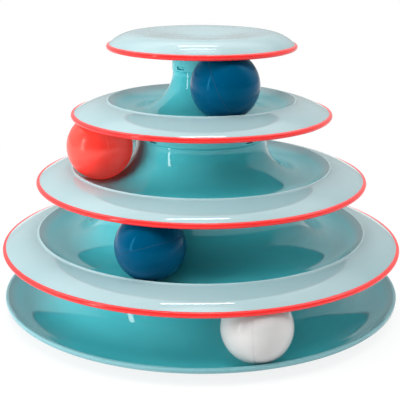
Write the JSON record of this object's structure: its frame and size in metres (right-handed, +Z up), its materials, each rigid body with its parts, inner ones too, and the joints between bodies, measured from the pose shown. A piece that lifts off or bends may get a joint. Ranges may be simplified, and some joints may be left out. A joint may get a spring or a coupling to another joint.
{
  "type": "cat ball track toy",
  "caption": "Tower of stacked round dishes with a rolling ball captive in each open track, a base tray and a closed cap, for a cat to bat.",
  "frame": {"origin": "on the floor, on the tower's axis, under the middle of the base tray", "axes": "+Z up along the tower's axis; -Y towards the side that the picture looks at, +X to its right"},
  "size_m": [0.25, 0.25, 0.1714],
  "materials": {
    "dish_shell": "glossy moulded aqua",
    "base_shell": "glossy moulded aqua",
    "rim_bead": "satin soft coral edging",
    "foot_rubber": "matt rubber",
    "ball_white": "glossy",
    "ball_blue": "glossy",
    "ball_red": "glossy"
  },
  "bodies": {
    "tower": {"base_tray": "base_shell", "lower_dish": "dish_shell", "middle_dish": "dish_shell", "upper_dish": "dish_shell", "top_cap": "dish_shell", "lower_rim_bead": "rim_bead", "middle_rim_bead": "rim_bead", "upper_rim_bead": "rim_bead", "cap_rim_bead": "rim_bead", "foot_pad_1": "foot_rubber", "foot_pad_2": "foot_rubber", "foot_pad_3": "foot_rubber", "foot_pad_4": "foot_rubber"},
    "base_ball": {"base_ball_top_shell": "ball_white", "base_ball_bottom_shell": "ball_white"},
    "lower_ball": {"lower_ball_top_shell": "ball_blue", "lower_ball_bottom_shell": "ball_blue"},
    "middle_ball": {"middle_ball_top_shell": "ball_red", "middle_ball_bottom_shell": "ball_red"},
    "upper_ball": {"upper_ball_top_shell": "ball_blue", "upper_ball_bottom_shell": "ball_blue"}
  },
  "joints": [
    {"name": "base_ball_orbit", "type": "hinge", "parent": "tower", "child": "base_ball", "pos_m": [0, 0, 0], "axis": [0, 0, 1], "continuous": true},
    {"name": "lower_ball_orbit", "type": "hinge", "parent": "tower", "child": "lower_ball", "pos_m": [0, 0, 0], "axis": [0, 0, 1], "continuous": true},
    {"name": "middle_ball_orbit", "type": "hinge", "parent": "tower", "child": "middle_ball", "pos_m": [0, 0, 0], "axis": [0, 0, 1], "continuous": true},
    {"name": "upper_ball_orbit", "type": "hinge", "parent": "tower", "child": "upper_ball", "pos_m": [0, 0, 0], "axis": [0, 0, 1], "continuous": true}
  ]
}
